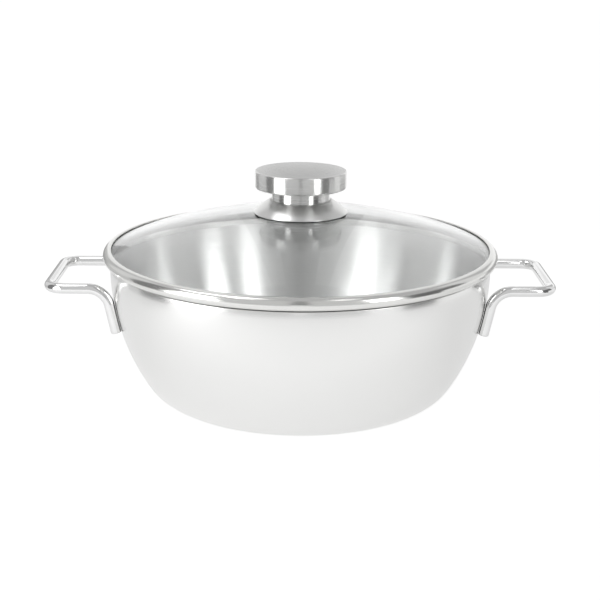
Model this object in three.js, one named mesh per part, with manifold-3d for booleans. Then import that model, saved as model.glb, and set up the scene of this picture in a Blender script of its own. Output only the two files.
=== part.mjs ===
// A deep two-handled steel pan with a steel-banded glass lid, built piece by piece.
// Millimetres, +Z up. The origin is the centre of the flat base, on the surface it stands on.
// The handles lie along X. The lid rests on the rim and carries a turned steel knob.
import * as THREE from 'three';
import { mergeVertices } from 'three/addons/utils/BufferGeometryUtils.js';
import Module from 'manifold-3d';

// Pan body: one deep bowl pressed from clad sheet, steel outside, aluminium between, steel inside.
const PAN_OUTER_RADIUS = 143;
const PAN_HEIGHT = 104.5;
const RIM_STRAIGHT = 5.5;
const RIM_CROWN = 0.5;
const CORNER_RADIUS = 28;
const CORNER_ANGLE = THREE.MathUtils.degToRad(58);
const SKIN_THICKNESS = 0.8;
const CORE_THICKNESS = 1.6;
const LINER_THICKNESS = 0.4;

// Loop handles: one bent round rod each, with both ends flattened onto the wall and welded.
const ROD_DIAMETER = 8;
const HANDLE_REACH = 42;
const HANDLE_BELOW_RIM = 14.3;
const LEG_SPREAD = 80;
const GRIP_BEND_RADIUS = 11;
const LEG_BEND_RADIUS = 16;
const WELD_BELOW_GRIP = 24;
const LEG_END_BELOW_GRIP = 34;
const LEG_STANDOFF = 3.7;

// Lid band: a steel strip rolled half-round over the glass, which rests on the rim and locates inside it.
const BAND_OVERHANG = 5;
const BAND_SHEET = 0.8;
const BAND_ROLL_RADIUS = 4.6;
const BAND_GROOVE = 0.95;
const BAND_LIP_WIDTH = 1.5;
const BAND_FLANGE_DEPTH = 4;
const FLANGE_CLEARANCE = 0.8;

// Lid glass: a shallow tempered dome with a hole for the knob's screw.
const DOME_RADIUS = 391;
const GLASS_THICKNESS = 4;
const GLASS_HOLE_RADIUS = 6;
const GLASS_BITE = 2.5;

// Knob: a hollow disc on a short neck, standing on a flared skirt with a soft gasket under it.
const DISC_RADIUS = 34.4;
const DISC_HEIGHT = 13;
const DISC_TOP_EDGE_RADIUS = 1.2;
const DISC_LOWER_EDGE_RADIUS = 1.4;
const DISC_SHEET = 1.2;
const FINGER_GAP = 9.1;
const NECK_RADIUS = 21.8;
const NECK_WALL = 1.5;
const NECK_RECESS = 1.2;
const SKIRT_RADIUS = 34.8;
const SKIRT_TOP_RADIUS = 23.4;
const SKIRT_TOP_LAND = 0.5;
const SKIRT_HEIGHT = 9.8;
const SKIRT_EDGE = 0.8;
const SKIRT_BULGE_RADIUS = 45;
const SKIRT_WALL = 1.2;
const GASKET_THICKNESS = 0.55;
const GASKET_WIDTH = 2;
const GASKET_INSET = 0.4;

// Fastening: a threaded boss inside the knob, and a screw with its washers from under the glass.
const BOSS_RADIUS = 6.5;
const BOSS_ABOVE_GLASS = 1.5;
const SCREW_RADIUS = 2.5;
const SCREW_ENGAGEMENT = 12;
const SCREW_HEAD_RADIUS = 5;
const SCREW_HEAD_HEIGHT = 3.2;
const SCREW_SLOT_WIDTH = 1.4;
const SCREW_SLOT_LENGTH = 5.6;
const SCREW_SLOT_DEPTH = 1.8;
const BORE_SPARE_DEPTH = 2;
const GROMMET_FLANGE_RADIUS = 14;
const GROMMET_FLANGE_THICKNESS = 1.4;
const WASHER_RADIUS = 11;
const WASHER_THICKNESS = 1;

// Clearances: between pieces that rest on each other, between the soft gasket and the glass it is
// pressed on, between a shaft or plug and its hole, and between the plies of the clad sheet.
const SEAT_GAP = 0.3;
const PRESS_GAP = 0.1;
const FIT_GAP = 0.3;
const BOND_LINE = 0.02;

// Facets of round pieces, of arcs in a profile and of the bent rods.
const PAN_FACETS = 48;
const KNOB_FACETS = 36;
const HARDWARE_FACETS = 24;
const ROD_FACETS = 10;
const WALL_ARC_STEPS = 4;
const DOME_STEPS = 6;
const EDGE_ARC_STEPS = 2;
const ROLL_STEPS = 6;
const ROD_STEP_LENGTH = 4;

const wasm = await Module();
wasm.setup();

const QUARTER_TURN = Math.PI / 2;

// Places that follow from the driving sizes.
const CORNER_TOP = CORNER_RADIUS * (1 - Math.cos(CORNER_ANGLE));
const SIDE_CENTRE_Z = PAN_HEIGHT - RIM_STRAIGHT;
const SIDE_RADIUS = (SIDE_CENTRE_Z - CORNER_TOP) / Math.cos(CORNER_ANGLE);
const SIDE_CENTRE_R = PAN_OUTER_RADIUS - SIDE_RADIUS;
const BASE_RADIUS = SIDE_CENTRE_R + (SIDE_RADIUS - CORNER_RADIUS) * Math.sin(CORNER_ANGLE);
const CORE_DEPTH = SKIN_THICKNESS + BOND_LINE;
const LINER_DEPTH = CORE_DEPTH + CORE_THICKNESS + BOND_LINE;
const CLAD_THICKNESS = LINER_DEPTH + LINER_THICKNESS;
const RIM_MIDDLE = PAN_OUTER_RADIUS - CLAD_THICKNESS / 2;

const BAND_RADIUS = PAN_OUTER_RADIUS + BAND_OVERHANG;
const BAND_SEAT = PAN_HEIGHT + SEAT_GAP;
const ROLL_R = BAND_RADIUS - BAND_ROLL_RADIUS;
const ROLL_Z = PAN_HEIGHT + BAND_GROOVE + BAND_ROLL_RADIUS;
const ROLL_INSIDE = BAND_ROLL_RADIUS - BAND_SHEET;
const FLANGE_RADIUS = PAN_OUTER_RADIUS - CLAD_THICKNESS - FLANGE_CLEARANCE;

const GLASS_EDGE_RADIUS = ROLL_R + GLASS_BITE;
const GLASS_SEAT = ROLL_Z - Math.sqrt((ROLL_INSIDE - SEAT_GAP) ** 2 - GLASS_BITE ** 2);
const DOME_INNER_RADIUS = DOME_RADIUS - GLASS_THICKNESS;
const DOME_CENTRE_Z = GLASS_SEAT - Math.sqrt(DOME_INNER_RADIUS ** 2 - GLASS_EDGE_RADIUS ** 2);

const GASKET_RADIUS = SKIRT_RADIUS - GASKET_INSET;
const GASKET_BOTTOM = domeHeight(DOME_RADIUS, GASKET_RADIUS - GASKET_WIDTH) + PRESS_GAP;
const SKIRT_BOTTOM = GASKET_BOTTOM + GASKET_THICKNESS;
const SKIRT_TOP = SKIRT_BOTTOM + SKIRT_HEIGHT;
const NECK_BOTTOM = SKIRT_TOP - NECK_RECESS;
const DISC_BOTTOM = SKIRT_TOP + FINGER_GAP;
const DISC_TOP = DISC_BOTTOM + DISC_HEIGHT;

const BOSS_BOTTOM = domeHeight(DOME_RADIUS, 0) + BOSS_ABOVE_GLASS;
const BOSS_HOLE_RADIUS = BOSS_RADIUS + FIT_GAP;
const SCREW_HOLE_RADIUS = SCREW_RADIUS + FIT_GAP;
const GROMMET_TOP = domeHeight(DOME_INNER_RADIUS, GROMMET_FLANGE_RADIUS) - SEAT_GAP;
const WASHER_TOP = GROMMET_TOP - GROMMET_FLANGE_THICKNESS;
const SCREW_HEAD_TOP = WASHER_TOP - WASHER_THICKNESS;

const HANDLE_Z = PAN_HEIGHT - HANDLE_BELOW_RIM;
const GRIP_X = PAN_OUTER_RADIUS + HANDLE_REACH;

// Height of a dome surface at a given distance from the lid's axis.
function domeHeight(radius, distance) {
  return DOME_CENTRE_Z + Math.sqrt(radius ** 2 - distance ** 2);
}

// Points of a circular arc in a profile, from one angle to the other.
function arc(centreR, centreZ, radius, from, to, steps) {
  const curve = new THREE.EllipseCurve(centreR, centreZ, radius, radius, from, to, to < from);
  return curve.getPoints(steps);
}

function point(radius, height) {
  return new THREE.Vector2(radius, height);
}

// A body of revolution about Z. The profile runs anticlockwise, with the radius to the right.
function turned(profile, facets) {
  return new THREE.LatheGeometry(profile, facets).rotateX(QUARTER_TURN);
}

function turnedRing(profile, facets) {
  return turned([...profile, profile[0].clone()], facets);
}

function toSolid(geometry) {
  const bare = geometry.clone();
  bare.deleteAttribute('normal');
  bare.deleteAttribute('uv');
  const merged = mergeVertices(bare);
  return new wasm.Manifold(new wasm.Mesh({
    numProp: 3,
    vertProperties: new Float32Array(merged.attributes.position.array),
    triVerts: new Uint32Array(merged.index.array),
  }));
}

function toGeometry(solid) {
  const mesh = solid.getMesh();
  const geometry = new THREE.BufferGeometry();
  geometry.setAttribute('position', new THREE.BufferAttribute(mesh.vertProperties, mesh.numProp));
  geometry.setIndex(new THREE.BufferAttribute(mesh.triVerts, 1));
  geometry.computeVertexNormals();
  return geometry;
}

// The bowl's outer surface from the axis to the foot of its rim, moved inwards by the given depth.
function bowlSurface(depth) {
  const foot = -QUARTER_TURN;
  const turn = foot + CORNER_ANGLE;
  return [
    point(0, depth),
    ...arc(BASE_RADIUS, CORNER_RADIUS, CORNER_RADIUS - depth, foot, turn, WALL_ARC_STEPS),
    ...arc(SIDE_CENTRE_R, SIDE_CENTRE_Z, SIDE_RADIUS - depth, turn, 0, WALL_ARC_STEPS).slice(1),
  ];
}

// The rim's edge is ground to a low crown over all the plies. The angle of the crown's ellipse at which
// a surface at the given depth meets it.
function rimAngle(depth) {
  return Math.acos(THREE.MathUtils.clamp(1 - 2 * depth / CLAD_THICKNESS, -1, 1));
}

// One ply of the clad sheet, at a depth under the outer surface, with its own stretch of the rim's crown.
function ply(depth, thickness) {
  const inside = depth + thickness;
  const from = rimAngle(depth);
  const to = rimAngle(inside);
  const foot = PAN_HEIGHT - RIM_CROWN;
  const crown = new THREE.EllipseCurve(RIM_MIDDLE, foot, CLAD_THICKNESS / 2, RIM_CROWN, from, to);
  return turned([
    ...bowlSurface(depth),
    ...crown.getPoints(EDGE_ARC_STEPS),
    ...bowlSurface(inside).reverse(),
  ], PAN_FACETS);
}

// The wall's outer radius and its lean from upright, where the curved side is.
function wallRadius(height) {
  return SIDE_CENTRE_R + Math.sqrt(SIDE_RADIUS ** 2 - (SIDE_CENTRE_Z - height) ** 2);
}

function wallLean(height) {
  return Math.asin((SIDE_CENTRE_Z - height) / SIDE_RADIUS);
}

// A circular bend, from one spoke of its circle towards the other.
class Bend extends THREE.Curve {
  constructor(centre, fromSpoke, towardsSpoke, angle) {
    super();
    this.centre = centre;
    this.fromSpoke = fromSpoke;
    this.towardsSpoke = towardsSpoke;
    this.angle = angle;
  }

  getPoint(t, target = new THREE.Vector3()) {
    const turn = this.angle * t;
    target.copy(this.centre);
    target.addScaledVector(this.fromSpoke, Math.cos(turn));
    return target.addScaledVector(this.towardsSpoke, Math.sin(turn));
  }
}

// The rod's centre line: up one leg, out, round the grip, back and down the other leg.
function handleLine() {
  const legY = LEG_SPREAD / 2;
  const weldZ = HANDLE_Z - WELD_BELOW_GRIP;
  const lean = wallLean(weldZ);
  const weldX = Math.sqrt((wallRadius(weldZ) + LEG_STANDOFF) ** 2 - legY ** 2);
  const bendZ = HANDLE_Z - LEG_BEND_RADIUS * (1 - Math.sin(lean));
  const bendX = weldX + (bendZ - weldZ) * Math.tan(lean);
  const endZ = HANDLE_Z - LEG_END_BELOW_GRIP;
  const endX = weldX - (weldZ - endZ) * Math.tan(lean);
  const cornerX = GRIP_X - GRIP_BEND_RADIUS;
  const cornerY = legY - GRIP_BEND_RADIUS;
  const centreX = bendX + LEG_BEND_RADIUS * Math.cos(lean);
  const centreZ = HANDLE_Z - LEG_BEND_RADIUS;
  const up = new THREE.Vector3(0, 0, LEG_BEND_RADIUS);
  const inward = new THREE.Vector3(-LEG_BEND_RADIUS, 0, 0);
  const outSpoke = new THREE.Vector3(GRIP_BEND_RADIUS, 0, 0);
  const legBendAngle = QUARTER_TURN - lean;

  const line = new THREE.CurvePath();
  const straight = (a, b) => line.add(new THREE.LineCurve3(a, b));
  const at = (x, side, z) => new THREE.Vector3(x, side * legY, z);
  const legSpoke = inward.clone().multiplyScalar(Math.cos(lean));
  legSpoke.addScaledVector(up, Math.sin(lean));
  const legRise = inward.clone().multiplyScalar(-Math.sin(lean));
  legRise.addScaledVector(up, Math.cos(lean));
  const backSpoke = new THREE.Vector3(0, -GRIP_BEND_RADIUS, 0);

  straight(at(endX, -1, endZ), at(bendX, -1, bendZ));
  line.add(new Bend(at(centreX, -1, centreZ), legSpoke, legRise, legBendAngle));
  straight(at(centreX, -1, HANDLE_Z), at(cornerX, -1, HANDLE_Z));
  line.add(new Bend(new THREE.Vector3(cornerX, -cornerY, HANDLE_Z), backSpoke, outSpoke, QUARTER_TURN));
  straight(new THREE.Vector3(GRIP_X, -cornerY, HANDLE_Z), new THREE.Vector3(GRIP_X, cornerY, HANDLE_Z));
  const frontSpoke = backSpoke.clone().negate();
  line.add(new Bend(new THREE.Vector3(cornerX, cornerY, HANDLE_Z), outSpoke, frontSpoke, QUARTER_TURN));
  straight(at(cornerX, 1, HANDLE_Z), at(centreX, 1, HANDLE_Z));
  line.add(new Bend(at(centreX, 1, centreZ), up, inward, legBendAngle));
  straight(at(bendX, 1, bendZ), at(endX, 1, endZ));
  return line;
}

// The bent rod, with its legs cut to the wall so that they sit flat on it.
function handle() {
  const line = handleLine();
  const outline = new THREE.EllipseCurve(0, 0, ROD_DIAMETER / 2, ROD_DIAMETER / 2).getPoints(ROD_FACETS);
  const section = new THREE.Shape(outline.slice(0, ROD_FACETS));
  const rod = new THREE.ExtrudeGeometry(section, {
    steps: Math.round(line.getLength() / ROD_STEP_LENGTH),
    extrudePath: line,
    bevelEnabled: false,
  });
  const wall = turned([
    ...bowlSurface(-SEAT_GAP),
    point(PAN_OUTER_RADIUS + SEAT_GAP, PAN_HEIGHT),
    point(0, PAN_HEIGHT),
  ], PAN_FACETS);
  return toGeometry(toSolid(rod).subtract(toSolid(wall)));
}

// The band's section: a flange inside the rim, a seat on its crown, and a foot that slopes up from the seat
// into the half-round, which ends in a lip over the glass.
function lidBand() {
  const flangeBottom = PAN_HEIGHT - BAND_FLANGE_DEPTH;
  const lip = ROLL_R - BAND_LIP_WIDTH;
  const toRoll = point(ROLL_R - RIM_MIDDLE, ROLL_Z - BAND_SEAT);
  const slope = toRoll.angle() - Math.asin(BAND_ROLL_RADIUS / toRoll.length());
  const rollStart = slope - QUARTER_TURN;
  const seatInside = RIM_MIDDLE - BAND_SHEET * Math.tan(slope / 2);
  return turnedRing([
    point(FLANGE_RADIUS - BAND_SHEET, flangeBottom),
    point(FLANGE_RADIUS, flangeBottom),
    point(FLANGE_RADIUS, BAND_SEAT),
    point(RIM_MIDDLE, BAND_SEAT),
    ...arc(ROLL_R, ROLL_Z, BAND_ROLL_RADIUS, rollStart, QUARTER_TURN, ROLL_STEPS),
    point(lip, ROLL_Z + BAND_ROLL_RADIUS),
    point(lip, ROLL_Z + ROLL_INSIDE),
    ...arc(ROLL_R, ROLL_Z, ROLL_INSIDE, QUARTER_TURN, rollStart, ROLL_STEPS),
    point(seatInside, BAND_SEAT + BAND_SHEET),
    point(FLANGE_RADIUS - BAND_SHEET, BAND_SEAT + BAND_SHEET),
  ], PAN_FACETS);
}

function lidGlass() {
  const outward = (radius, distance) => Math.acos(distance / radius);
  const face = (radius, from, to) =>
    arc(0, DOME_CENTRE_Z, radius, outward(radius, from), outward(radius, to), DOME_STEPS);
  return turnedRing([
    ...face(DOME_INNER_RADIUS, GLASS_HOLE_RADIUS, GLASS_EDGE_RADIUS),
    ...face(DOME_RADIUS, GLASS_EDGE_RADIUS, GLASS_HOLE_RADIUS),
  ], PAN_FACETS);
}

function skirtGasket() {
  const inner = GASKET_RADIUS - GASKET_WIDTH;
  const outerBottom = domeHeight(DOME_RADIUS, GASKET_RADIUS) + PRESS_GAP;
  return turnedRing([
    point(inner, GASKET_BOTTOM),
    point(GASKET_RADIUS, outerBottom),
    point(GASKET_RADIUS, SKIRT_BOTTOM),
    point(inner, SKIRT_BOTTOM),
  ], KNOB_FACETS);
}

// The skirt: a domed flare with a recess on top that takes the neck.
function knobSkirt() {
  const edge = point(SKIRT_RADIUS, SKIRT_BOTTOM + SKIRT_EDGE);
  const top = point(SKIRT_TOP_RADIUS, SKIRT_TOP);
  const chord = top.clone().sub(edge);
  const half = chord.length() / 2;
  const depth = Math.sqrt(SKIRT_BULGE_RADIUS ** 2 - half ** 2);
  const centre = edge.clone().addScaledVector(chord, 0.5);
  centre.add(point(-chord.y, chord.x).setLength(depth));
  const from = edge.clone().sub(centre).angle();
  const to = top.clone().sub(centre).angle();
  const recessRadius = NECK_RADIUS + FIT_GAP;
  const ceiling = NECK_BOTTOM - SKIRT_WALL;
  return turnedRing([
    point(BOSS_HOLE_RADIUS, ceiling),
    point(recessRadius, ceiling),
    point(SKIRT_RADIUS - SKIRT_WALL, SKIRT_BOTTOM),
    point(SKIRT_RADIUS, SKIRT_BOTTOM),
    ...arc(centre.x, centre.y, SKIRT_BULGE_RADIUS, from, to, EDGE_ARC_STEPS),
    point(SKIRT_TOP_RADIUS - SKIRT_TOP_LAND, SKIRT_TOP),
    point(recessRadius, NECK_BOTTOM),
    point(BOSS_HOLE_RADIUS, NECK_BOTTOM),
  ], KNOB_FACETS);
}

function knobNeck() {
  return turnedRing([
    point(NECK_RADIUS - NECK_WALL, NECK_BOTTOM),
    point(NECK_RADIUS, NECK_BOTTOM),
    point(NECK_RADIUS, DISC_BOTTOM),
    point(NECK_RADIUS - NECK_WALL, DISC_BOTTOM),
  ], KNOB_FACETS);
}

// The plate that closes the disc from below.
function knobUnderside() {
  const rim = DISC_RADIUS - DISC_LOWER_EDGE_RADIUS - FIT_GAP;
  return turnedRing([
    point(BOSS_HOLE_RADIUS, DISC_BOTTOM),
    point(rim, DISC_BOTTOM),
    point(rim, DISC_BOTTOM + DISC_SHEET),
    point(BOSS_HOLE_RADIUS, DISC_BOTTOM + DISC_SHEET),
  ], KNOB_FACETS);
}

// The drawn cap: flat top, upright side and a rolled lower edge.
function knobCap() {
  const wall = DISC_RADIUS - DISC_SHEET;
  const rollR = DISC_RADIUS - DISC_LOWER_EDGE_RADIUS;
  const rollZ = DISC_BOTTOM + DISC_LOWER_EDGE_RADIUS;
  const topR = DISC_RADIUS - DISC_TOP_EDGE_RADIUS;
  const topZ = DISC_TOP - DISC_TOP_EDGE_RADIUS;
  return turned([
    point(0, DISC_TOP - DISC_SHEET),
    point(wall, DISC_TOP - DISC_SHEET),
    ...arc(rollR, rollZ, DISC_LOWER_EDGE_RADIUS - DISC_SHEET, 0, -QUARTER_TURN, EDGE_ARC_STEPS),
    ...arc(rollR, rollZ, DISC_LOWER_EDGE_RADIUS, -QUARTER_TURN, 0, EDGE_ARC_STEPS),
    ...arc(topR, topZ, DISC_TOP_EDGE_RADIUS, 0, QUARTER_TURN, EDGE_ARC_STEPS),
    point(0, DISC_TOP),
  ], KNOB_FACETS);
}

// The boss under the cap, with a blind hole for the screw.
function knobBoss() {
  const boreTop = BOSS_BOTTOM + SCREW_ENGAGEMENT + BORE_SPARE_DEPTH;
  return turned([
    point(0, boreTop),
    point(SCREW_HOLE_RADIUS, boreTop),
    point(SCREW_HOLE_RADIUS, BOSS_BOTTOM),
    point(BOSS_RADIUS, BOSS_BOTTOM),
    point(BOSS_RADIUS, DISC_TOP - DISC_SHEET),
    point(0, DISC_TOP - DISC_SHEET),
  ], HARDWARE_FACETS);
}

// A top-hat grommet: its flange under the glass, its sleeve in the hole.
function glassGrommet() {
  const sleeve = GLASS_HOLE_RADIUS - FIT_GAP;
  const sleeveTop = domeHeight(DOME_RADIUS, GLASS_HOLE_RADIUS);
  return turnedRing([
    point(SCREW_HOLE_RADIUS, WASHER_TOP),
    point(GROMMET_FLANGE_RADIUS, WASHER_TOP),
    point(GROMMET_FLANGE_RADIUS, GROMMET_TOP),
    point(sleeve, GROMMET_TOP),
    point(sleeve, sleeveTop),
    point(SCREW_HOLE_RADIUS, sleeveTop),
  ], HARDWARE_FACETS);
}

function screwWasher() {
  return turnedRing([
    point(SCREW_HOLE_RADIUS, SCREW_HEAD_TOP),
    point(WASHER_RADIUS, SCREW_HEAD_TOP),
    point(WASHER_RADIUS, WASHER_TOP),
    point(SCREW_HOLE_RADIUS, WASHER_TOP),
  ], HARDWARE_FACETS);
}

// The screw, with a cross recess in the bottom of its head.
function knobScrew() {
  const headBottom = SCREW_HEAD_TOP - SCREW_HEAD_HEIGHT;
  const edge = SCREW_HEAD_HEIGHT / 2;
  const body = toSolid(turned([
    point(0, headBottom),
    ...arc(SCREW_HEAD_RADIUS - edge, headBottom + edge, edge, -QUARTER_TURN, 0, EDGE_ARC_STEPS),
    point(SCREW_HEAD_RADIUS, SCREW_HEAD_TOP),
    point(SCREW_RADIUS, SCREW_HEAD_TOP),
    point(SCREW_RADIUS, BOSS_BOTTOM + SCREW_ENGAGEMENT),
    point(0, BOSS_BOTTOM + SCREW_ENGAGEMENT),
  ], HARDWARE_FACETS));
  const slot = (x, y) => toSolid(
    new THREE.BoxGeometry(x, y, 2 * SCREW_SLOT_DEPTH).translate(0, 0, headBottom),
  );
  const cross = slot(SCREW_SLOT_LENGTH, SCREW_SLOT_WIDTH).add(slot(SCREW_SLOT_WIDTH, SCREW_SLOT_LENGTH));
  return toGeometry(body.subtract(cross));
}

const object = new THREE.Group();

function place(name, geometry, color, roughness, metalness) {
  const material = new THREE.MeshStandardMaterial({ color, roughness, metalness });
  const mesh = new THREE.Mesh(geometry, material);
  mesh.name = name;
  object.add(mesh);
  return mesh;
}

place('outer_skin', ply(0, SKIN_THICKNESS), 0xe2e2e0, 0.35, 1);
place('aluminium_core', ply(CORE_DEPTH, CORE_THICKNESS), 0xc9cbcd, 0.5, 1);
place('cooking_liner', ply(LINER_DEPTH, LINER_THICKNESS), 0xc4c4c2, 0.3, 1);
place('right_handle', handle(), 0xd8d8d8, 0.08, 1);
place('left_handle', handle(), 0xd8d8d8, 0.08, 1).rotation.z = Math.PI;

place('lid_band', lidBand(), 0xcfcfcd, 0.2, 1);
const glass = place('lid_glass', lidGlass(), 0xf2f6f5, 0.02, 0);
glass.material.transparent = true;
glass.material.opacity = 0.25;

place('skirt_gasket', skirtGasket(), 0x2b2b2c, 0.7, 0);
place('knob_skirt', knobSkirt(), 0xc8c8c6, 0.15, 1);
place('knob_neck', knobNeck(), 0xc8c8c6, 0.12, 1);
place('knob_underside', knobUnderside(), 0xc0c0be, 0.25, 1);
place('knob_cap', knobCap(), 0xc8c8c6, 0.15, 1);
place('knob_boss', knobBoss(), 0xb9b9b7, 0.4, 1);

place('glass_grommet', glassGrommet(), 0x2b2b2c, 0.7, 0);
place('screw_washer', screwWasher(), 0xbdbdbb, 0.3, 1);
place('knob_screw', knobScrew(), 0xb5b5b3, 0.3, 1);

export default object;
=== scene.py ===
# A deep two-handled steel pan under a steel-banded glass lid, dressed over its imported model.
# Metres, +Z up, in the model's own frame: the handles lie along X and the viewer stands at -Y.
from math import acos, asin, atan2, cos, degrees, pi, radians, sin, sqrt, tan

import bmesh
import bpy
from mathutils import Matrix, Vector


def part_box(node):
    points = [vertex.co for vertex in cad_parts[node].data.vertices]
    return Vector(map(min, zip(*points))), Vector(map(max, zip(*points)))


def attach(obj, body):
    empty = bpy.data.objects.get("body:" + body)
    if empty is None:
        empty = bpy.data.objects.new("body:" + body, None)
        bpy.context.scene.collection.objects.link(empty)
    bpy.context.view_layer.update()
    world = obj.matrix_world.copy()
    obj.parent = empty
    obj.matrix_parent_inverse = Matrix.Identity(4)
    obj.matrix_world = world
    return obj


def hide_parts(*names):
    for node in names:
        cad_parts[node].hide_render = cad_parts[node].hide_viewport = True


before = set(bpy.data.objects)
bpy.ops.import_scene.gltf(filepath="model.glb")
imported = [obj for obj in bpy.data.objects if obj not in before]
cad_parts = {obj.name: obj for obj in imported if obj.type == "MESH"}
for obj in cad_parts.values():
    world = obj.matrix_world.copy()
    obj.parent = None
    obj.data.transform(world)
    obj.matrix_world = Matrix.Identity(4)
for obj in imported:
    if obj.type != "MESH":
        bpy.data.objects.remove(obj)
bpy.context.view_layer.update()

# The camera stands about a metre away and looks down on the lid at a low angle.
# It leans by a fraction of a degree, as a camera set by eye does.
MM = 0.001
CAMERA_DISTANCE = 972.6 * MM
CAMERA_ELEVATION = radians(16.51)
CAMERA_LEAN = radians(0.40)
CAMERA_AIM_HEIGHT = 70.5 * MM
CAMERA_LENS_MM = 76.16
CAMERA_SENSOR_MM = 36

camera = bpy.data.objects.new("camera", bpy.data.cameras.new("camera"))
camera.data.lens = CAMERA_LENS_MM
camera.data.sensor_width = CAMERA_SENSOR_MM
camera_aim = Matrix.Translation((0, 0, CAMERA_AIM_HEIGHT))
camera_back = Matrix.Rotation(-CAMERA_ELEVATION, 3, "X") @ Vector((0, -CAMERA_DISTANCE, 0))
camera_tilt = Matrix.Rotation(pi / 2 - CAMERA_ELEVATION, 4, "X")
camera_lean = Matrix.Rotation(CAMERA_LEAN, 4, "Z")
camera.matrix_world = camera_aim @ Matrix.Translation(camera_back) @ camera_tilt @ camera_lean
bpy.context.scene.collection.objects.link(camera)
bpy.context.scene.camera = camera
bpy.context.scene.view_settings.view_transform = "Standard"

# The bowl's outer skin: stainless steel, the outside of a clad sheet pressed into a deep round-sided bowl.
# Its wall curves up from a flat base and ends upright at the rim. It is finished with a fine satin grain
# that runs round the bowl, so it mirrors its surroundings as a soft, pale blur.
PAN_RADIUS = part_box("outer_skin")[1].x
# The lid's flange reaches this far down inside the rim, so the rim's top is found from it.
FLANGE_DEPTH = 4 * MM
PAN_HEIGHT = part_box("lid_band")[0].z + FLANGE_DEPTH
RIM_STRAIGHT = 5.5 * MM
RIM_CROWN = 0.5 * MM
CORNER_RADIUS = 28 * MM
CORNER_ANGLE = radians(58)
SKIN_THICKNESS = 0.8 * MM
CLAD_THICKNESS = 2.84 * MM
PAN_TURN_STEPS = 192
MERGE_DISTANCE = 0.0001 * MM
SATIN_PALE = "#E9E9E8"
SATIN_GREY = "#E7E7E6"

CORNER_TOP = CORNER_RADIUS * (1 - cos(CORNER_ANGLE))
SIDE_CENTRE_Z = PAN_HEIGHT - RIM_STRAIGHT
SIDE_RADIUS = (SIDE_CENTRE_Z - CORNER_TOP) / cos(CORNER_ANGLE)
SIDE_CENTRE_R = PAN_RADIUS - SIDE_RADIUS
BASE_RADIUS = SIDE_CENTRE_R + (SIDE_RADIUS - CORNER_RADIUS) * sin(CORNER_ANGLE)
RIM_MIDDLE = PAN_RADIUS - CLAD_THICKNESS / 2


def arc(centre, radius, start, stop, steps, rise=None):
    """Points of an arc in a (radius, height) profile, from one angle in degrees to another. It is
    round, or elliptical where it has a rise of its own."""
    rise = rise or radius
    angles = [radians(start + (stop - start) * i / steps) for i in range(steps + 1)]
    return [(centre[0] + radius * cos(a), centre[1] + rise * sin(a)) for a in angles]


def bowl_surface(depth):
    """The bowl's outside from the axis to the foot of its rim, moved inwards by a depth."""
    turn = degrees(CORNER_ANGLE) - 90
    corner = arc((BASE_RADIUS, CORNER_RADIUS), CORNER_RADIUS - depth, -90, turn, steps=16)
    side = arc((SIDE_CENTRE_R, SIDE_CENTRE_Z), SIDE_RADIUS - depth, turn, 0, steps=24)
    return [(0, depth)] + corner + side[1:]


def rim_angle(depth):
    """The rim's edge is ground to a low crown over all plies. This is the angle, in degrees, at which
    the surface at a depth meets it."""
    return degrees(acos(max(-1, 1 - 2 * depth / CLAD_THICKNESS)))


def ply(depth, thickness):
    """The section of one ply of the clad sheet, at a depth under the outside, with its part of the
    rim."""
    inside = depth + thickness
    foot = (RIM_MIDDLE, PAN_HEIGHT - RIM_CROWN)
    crown = arc(foot, CLAD_THICKNESS / 2, rim_angle(depth), rim_angle(inside), steps=10, rise=RIM_CROWN)
    return bowl_surface(depth) + crown + bowl_surface(inside)[::-1]


def finished(name, shape, sharp_angle=35):
    """Turn a bmesh into a smooth-shaded object with its real edges kept crisp."""
    bmesh.ops.recalc_face_normals(shape, faces=shape.faces)
    mesh = bpy.data.meshes.new(name)
    shape.to_mesh(mesh)
    shape.free()
    mesh.shade_smooth()
    mesh.set_sharp_from_angle(angle=radians(sharp_angle))
    piece = bpy.data.objects.new(name, mesh)
    bpy.context.scene.collection.objects.link(piece)
    return piece


def turned(name, profile, steps=PAN_TURN_STEPS, closed=True):
    """Spin a (radius, height) profile a full turn about the pan's axis."""
    shape = bmesh.new()
    verts = [shape.verts.new((radius, 0, height)) for radius, height in profile]
    ends = verts[1:] + verts[:1] if closed else verts[1:]
    edges = [shape.edges.new(pair) for pair in zip(verts, ends)]
    bmesh.ops.spin(shape, geom=verts + edges, axis=(0, 0, 1), angle=2 * pi, steps=steps, use_merge=True)
    bmesh.ops.remove_doubles(shape, verts=shape.verts, dist=MERGE_DISTANCE)
    return finished(name, shape)


def linear(hex_colour):
    """An sRGB hex colour as the linear RGBA that shader sockets take."""
    channels = [int(hex_colour[i:i + 2], 16) / 255 for i in (1, 3, 5)]
    return [c / 12.92 if c <= 0.04045 else ((c + 0.055) / 1.055) ** 2.4 for c in channels] + [1]


def add_node(tree, kind, inputs=None, **settings):
    """Add one node with its settings. An input that is a socket is linked, any other is set."""
    node = tree.nodes.new("ShaderNode" + kind)
    for name, value in settings.items():
        setattr(node, name, value)
    for name, value in (inputs or {}).items():
        if isinstance(value, bpy.types.NodeSocket):
            tree.links.new(value, node.inputs[name])
        else:
            node.inputs[name].default_value = value
    return node


def new_material(name):
    """A node material with nothing in it yet, and the tree to build it in."""
    material = bpy.data.materials.new(name)
    material.use_nodes = True
    material.node_tree.nodes.clear()
    return material, material.node_tree


def from_axis(tree, place):
    """A place brought down to the floor, and its distance from the pan's axis."""
    level = add_node(tree, "VectorMath", {0: place, 1: (1, 1, 0)}, operation="MULTIPLY").outputs[0]
    radius = add_node(tree, "VectorMath", {0: level}, operation="LENGTH").outputs["Value"]
    return level, radius


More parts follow.
